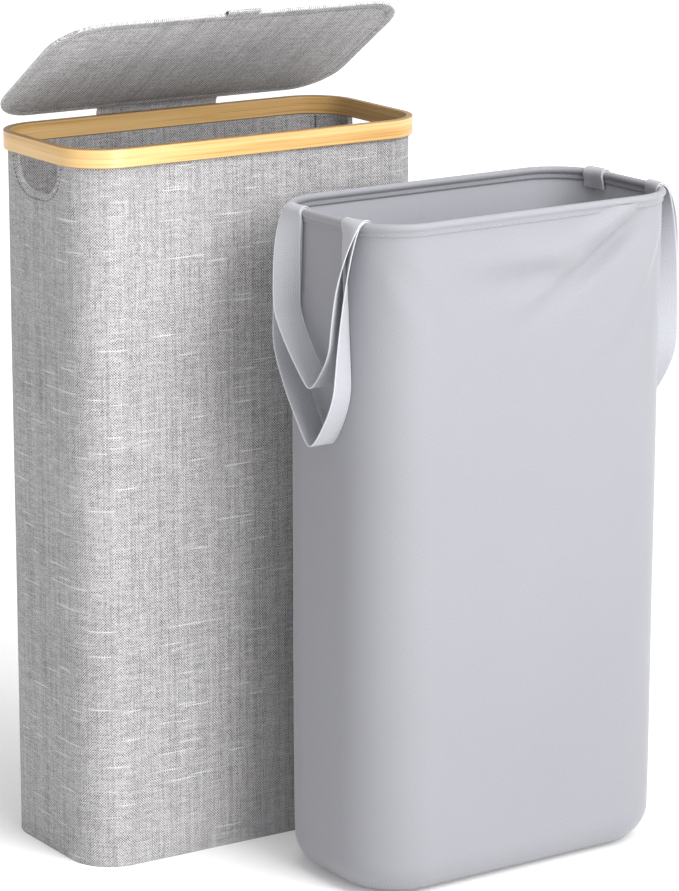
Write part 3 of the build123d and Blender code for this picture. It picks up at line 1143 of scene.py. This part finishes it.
def strap_half(strand, bottom_z, layer):
    """One strand from its sewn end inside the bag, over the rim and down to the loop's bottom.

    Each step is its centre, the direction of the webbing's width and how closely it follows
    the rim's curve."""
    y_top = BACK_STRAP_Y if strand > 0 else FRONT_STRAP_Y
    reach, turn = rim_at(y_top)
    thick, half_width = sizes().web_thick, sizes().web_width / 2
    radius = RIM_TUBE + 0.75 * MM + layer * (thick + 0.25 * MM)
    steps = []

    def step(out, y, z, twist, hold):
        width = Vector((math.sin(twist), strand * math.cos(twist), 0))
        steps.append((Vector((reach + out, y, z)), width, hold))

    # the sewn end lies on the inside of the bag
    for inward, z in ((2.5, 629.5), (2.3, 632.5), (1.5, 636.0), (0.5, 640.0)):
        step(inward * MM - radius, y_top, z * MM, -turn, 1.0)
    # over the rim, a little loose on the outside
    lean = math.radians(10)
    for k in range(9):
        angle = math.pi * (1 - k / 8)
        loose = radius + max(math.cos(angle), 0.0) * 2.2 * MM
        z = RIM_Z + radius * math.sin(angle)
        step(loose * math.cos(angle), y_top, z, lean * (k / 8) ** 2 - turn, 1.0)
    # down the outside, turning edge on, and in to the bottom of the loop
    first = radius + 2.2 * MM
    bend_from, power = (0.55, 1.35) if strand > 0 else (0.70, 1.6)
    for k in range(1, 31):
        share = k / 30
        twist = lean - turn + (math.pi / 2 + turn - lean) * share**0.6
        nest = layer * (thick + 0.4 * MM + 4.0 * MM * min(share / 0.35, 1.0))
        hang = 2.0 * MM + half_width * max(math.sin(twist), 0.0) + nest * math.cos(twist)
        slant = max((share - bend_from) / (1 - bend_from), 0.0) ** power
        y = y_top - strand * nest * math.sin(twist)
        y += (LOOP_BOTTOM_Y - y) * slant
        z = RIM_Z + (bottom_z - RIM_Z) * share
        step((hang**6 + first**6) ** (1 / 6), y, z, twist, max(1 - share * 8, 0.0))
    return steps


def strap_frames(bottom_z, layer, steps):
    """Centres, width directions and hold of a strap at even distances, its bottom rounded."""
    down, up = (strap_half(strand, bottom_z, layer) for strand in (1, -1))
    even = even_steps(down + up[-2::-1], steps)
    for smoothing in range(14):
        before = [(centre.copy(), width.copy()) for centre, width, hold in even]
        for k in range(1, steps):
            ease = 0.5 * (1 - min(even[k][2] * 4, 0.9))
            for part in (0, 1):
                middle = (before[k - 1][part] + before[k + 1][part]) / 2
                even[k][part] = before[k][part].lerp(middle, ease)
    for k, (centre, width, hold) in enumerate(even):
        along = (even[min(k + 1, steps)][0] - even[max(k - 1, 0)][0]).normalized()
        even[k][1] = (width - along * width.dot(along)).normalized()
    return even


class HAMPER_OT_straps(bpy.types.Operator):
    """Long and short webbing loops on both short sides of the bag"""

    bl_idname = "hamper.straps"
    bl_label = "Webbing loops"

    def execute(self, context):
        for side, side_name in ((-1, "left"), (1, "right")):
            for kind, (bottom_z, layer) in LOOPS.items():
                piece = self.strap(f"{kind}_webbing_{side_name}", side, bottom_z, layer)
                paint(piece, "webbing")
                nodes = (f"{kind}_strap_{side_name}", f"{kind}_strap_ends_{side_name}")
                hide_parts(*nodes)
                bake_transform(piece)
            self.tacks(side, side_name)
        return {"FINISHED"}

    def strap(self, name, side, bottom_z, layer):
        count = 200
        even = strap_frames(bottom_z, layer, count)
        length = sum((b[0] - a[0]).length for a, b in zip(even, even[1:]))

        def place(i, j):
            centre, width, hold = even[round(j * count)]
            across = (i - 0.5) * sizes().web_width
            point = centre + width * across
            if hold:
                # the rim falls away from its tangent towards the round corner
                reach, turn = rim_at(centre.y)
                slope = math.tan(math.copysign(turn, centre.y))
                tangent = reach - (point.y - centre.y) * slope
                point.x += (rim_at(point.y)[0] - tangent) * hold
            return Vector((side * point.x, point.y, point.z)), (across, j * length)

        piece = cloth_grid(name, 10, count, place, closed=False)
        apply_modifier(piece, "SOLIDIFY", thickness=sizes().web_thick, offset=0)
        apply_modifier(piece, "BEVEL", width=0.3 * MM, segments=2, limit_method="ANGLE")
        face_out(piece)
        shade(piece, 50)
        piece.data.transform(BAG_PLACE)
        return piece

    def tacks(self, side, side_name):
        """Stitches that hold the ends of the webbing inside the bag."""
        for y, end_name in ((BACK_STRAP_Y, "back"), (FRONT_STRAP_Y, "front")):
            reach, turn = rim_at(y)
            turned = Matrix.Rotation(math.copysign(turn, y), 3, "Z")
            inward = turned @ Vector((-1, 0, 0))
            across = turned @ Vector((0, 1, 0))
            centre = Vector((reach, y, 0)) + inward * (RIM_TUBE + 0.9 * MM)
            half = sizes().web_width / 2 - 2.5 * MM
            # round the box and once across it
            corners = [(-half, 0), (half, 0), (half, 1), (-half, 1), (-half, 0), (half, 1)]
            route = []
            for offset, row_up in corners:
                spot = centre + across * offset
                point = Vector((side * spot.x, spot.y, (630.5 + 3 * row_up) * MM))
                route.append((point, Vector((side * inward.x, inward.y, 0))))
            name = f"webbing_tack_{side_name}_{end_name}"
            row = stitches(name, route, 2.2 * MM, 1.0 * MM, 0.25 * MM, "pale_thread")
            row.data.transform(BAG_PLACE)
            settle(row, "bag", "webbing")


# CAD nodes that stay


class HAMPER_OT_frame_finish(bpy.types.Operator):
    """Bamboo, board, wire and tape on the nodes that keep their shape"""

    bl_idname = "hamper.frame_finish"
    bl_label = "Frame finishes"

    def execute(self, context):
        finishes = {
            "rim_band": "bamboo",
            "bag_rim_hoop": "spring_wire",
            "fastening_strip": "hook_tape",
        }
        for name, node in frame["nodes"].items():
            if name in finishes:
                paint(node, finishes[name])
            elif "board" in name:
                paint(node, "stiffener_board")
        return {"FINISHED"}


# Stage


# name, place, size, power and the point it faces
LIGHT_PANELS = (
    ("key_panel", (0.8, -2.9, 2.9), 1.8, 94, (0.1, 0, 0.35)),
    ("low_panel", (0.3, -3.9, 0.9), 1.8, 61, (0.0, 0, 0.45)),
    ("top_panel", (0.2, -0.9, 3.3), 2.2, 58, (0, 0, 0.3)),
)


class HAMPER_OT_stage(bpy.types.Operator):
    """Pale floor, soft studio light and the camera"""

    bl_idname = "hamper.stage"
    bl_label = "Stage"

    def execute(self, context):
        deselect()
        bpy.ops.mesh.primitive_plane_add(size=80)
        floor = bpy.context.object
        floor.name = "studio_floor"
        m = Maker("studio_floor")
        x, y, z = m.place()
        speck = m.noise(m.vector(x, y, z), scale=3.0, detail=1.0)
        colour = m.ramp(speck, [(0.3, (0.90, 0.90, 0.90)), (0.7, (0.92, 0.92, 0.92))])
        far = m.math("SQRT", x * x + y * y)
        # the floor glows more with distance, so that it meets the air without an edge
        shades = [(0.0, (0.12, 0.12, 0.12)), (1.0, (0.6, 0.6, 0.6))]
        glow = {"Emission_Color": m.ramp(m.smooth(far, 0.5, 3.5), shades), "Emission_Strength": 1.0}
        floor.data.materials.append(m.finish(colour, 0.9, Specular_IOR_Level=0.1, **glow))
        world = bpy.data.worlds.new("studio_air")
        world.use_nodes = True
        air = world.node_tree.nodes["Background"]
        air.inputs["Color"].default_value = (1.0, 1.0, 1.0, 1.0)
        air.inputs["Strength"].default_value = 0.52
        context.scene.world = world
        context.scene.view_settings.view_transform = "Standard"
        for panel in LIGHT_PANELS:
            self.light(*panel)
        self.camera(context)
        return {"FINISHED"}

    def light(self, name, place, size, power, aim):
        deselect()
        bpy.ops.object.light_add(type="AREA", location=place)
        lamp = bpy.context.object
        lamp.name = name
        lamp.data.size = size
        lamp.data.energy = power
        lamp.rotation_euler = (Vector(aim) - Vector(place)).to_track_quat("-Z", "Y").to_euler()

    def camera(self, context):
        """Long lens from the front left, a little above the rim."""
        turn, drop, distance = math.radians(33.09), math.radians(13.877), 3.92333
        ahead = Vector((math.sin(turn), math.cos(turn), -math.tan(drop))).normalized()
        right = Vector((math.cos(turn), -math.sin(turn), 0))
        up = right.cross(ahead)
        aim = right * 0.1244 + up * 0.36769
        bpy.ops.object.camera_add(location=aim - ahead * distance)
        camera = bpy.context.object
        camera.name = "studio_camera"
        camera.rotation_euler = Matrix((right, up, -ahead)).transposed().to_euler()
        camera.data.lens = 157.82
        camera.data.sensor_width = 36
        camera.data.clip_end = 120
        context.scene.camera = camera


# Add-on parts


def length(name, description, default):
    """A property for a small length."""
    kind = {"subtype": "DISTANCE", "unit": "LENGTH", "min": 0.2 * MM, "precision": 5}
    return bpy.props.FloatProperty(name=name, description=description, default=default, **kind)


def shade_of_grey(name, description, default):
    """A property for the brightness of a thread."""
    kind = {"subtype": "FACTOR", "min": 0, "max": 1}
    return bpy.props.FloatProperty(name=name, description=description, default=default, **kind)


def colour(name, description, default):
    """A property for a cloth's colour."""
    kind = {"subtype": "COLOR", "min": 0, "max": 1}
    return bpy.props.FloatVectorProperty(
        name=name, description=description, default=default, **kind
    )


class HamperSizes(bpy.types.PropertyGroup):
    """Sizes of the cloths"""

    weave: length("Weave", "Spacing of the linen's threads", 1.3 * MM)
    cloth: length("Cloth", "Thickness of the cover, the lining and the bag", 0.8 * MM)
    web_width: length("Webbing width", "Width of the strap loops", 25.4 * MM)
    web_thick: length("Webbing thickness", "Thickness of the strap loops", 1.1 * MM)


class HamperColours(bpy.types.PropertyGroup):
    """Colours of the cloths"""

    linen_dark: shade_of_grey("Dark thread", "Darkest thread of the linen", 0.07)
    linen_light: shade_of_grey("Light thread", "Lightest thread of the linen", 0.65)
    liner: colour("Liner", "Outside of the bag's cloth", (0.285, 0.287, 0.312))
    # a lighter copy of the bag's cloth: painted light on the shaded inner walls
    liner_inside: colour("Liner inside", "Coated side of the bag's cloth", (0.41, 0.415, 0.45))
    webbing: colour("Webbing", "Colour of the strap loops", (0.41, 0.415, 0.45))


PIECES = (
    HAMPER_OT_frame_finish,
    HAMPER_OT_cover,
    HAMPER_OT_lining,
    HAMPER_OT_base,
    HAMPER_OT_hand_holes,
    HAMPER_OT_lid,
    HAMPER_OT_flap,
    HAMPER_OT_bag,
    HAMPER_OT_piping,
    HAMPER_OT_straps,
    HAMPER_OT_stage,
)


class HAMPER_PT_panel(bpy.types.Panel):
    """Lists the pieces of the hamper"""

    bl_idname = "HAMPER_PT_panel"
    bl_label = "Laundry Hamper"
    bl_space_type = "VIEW_3D"
    bl_region_type = "UI"
    bl_category = "Hamper"

    def draw(self, context):
        for group in (sizes(), colours()):
            for name in type(group).__annotations__:
                self.layout.prop(group, name)
        for piece in PIECES:
            self.layout.operator(piece.bl_idname)


CLASSES = (HamperSizes, HamperColours, *PIECES, HAMPER_PT_panel)


def register():
    for cls in CLASSES:
        bpy.utils.register_class(cls)
    bpy.types.Scene.hamper_sizes = bpy.props.PointerProperty(type=HamperSizes)
    bpy.types.Scene.hamper_colours = bpy.props.PointerProperty(type=HamperColours)


def unregister():
    del bpy.types.Scene.hamper_colours
    del bpy.types.Scene.hamper_sizes
    for cls in reversed(CLASSES):
        bpy.utils.unregister_class(cls)


def main():
    register()
    for piece in PIECES:
        group, name = piece.bl_idname.split(".")
        getattr(getattr(bpy.ops, group), name)()


if __name__ == "__main__":
    main()
